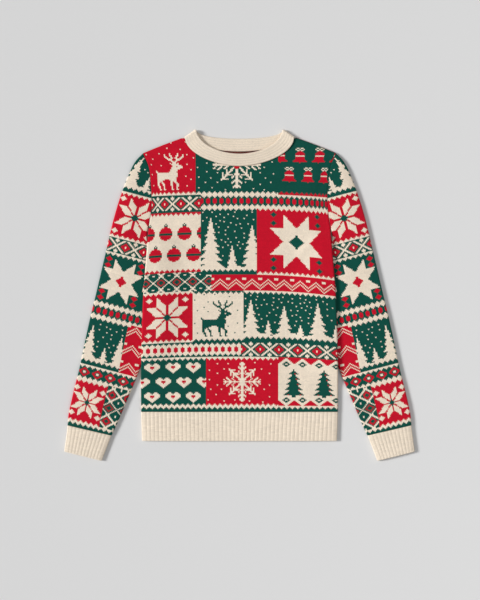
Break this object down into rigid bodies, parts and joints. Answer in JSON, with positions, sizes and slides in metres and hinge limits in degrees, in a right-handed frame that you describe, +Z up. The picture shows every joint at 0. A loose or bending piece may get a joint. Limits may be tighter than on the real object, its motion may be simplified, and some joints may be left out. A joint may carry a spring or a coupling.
{
  "type": "christmas sweater",
  "caption": "Crew-neck jacquard christmas sweater laid flat on its back, with long sleeves, ribbed neckband, cuffs and hem.",
  "frame": {"origin": "middle of the laid-out garment's outline, on the surface it lies on", "axes": "+Y towards the neck, +X to the right as seen from above, across both sleeves, and +Z up, out of the front"},
  "size_m": [0.7896, 0.747, 0.0141],
  "materials": {
    "jacquard": "soft jacquard knit in red, deep green and cream yarn",
    "rib": "soft cream rib knit"
  },
  "bodies": {
    "root": {"front": "jacquard", "back": "jacquard", "sleeve_left": "jacquard", "sleeve_right": "jacquard", "cuff_left": "rib", "cuff_right": "rib", "hem": "rib", "collar": "rib"}
  },
  "joints": []
}
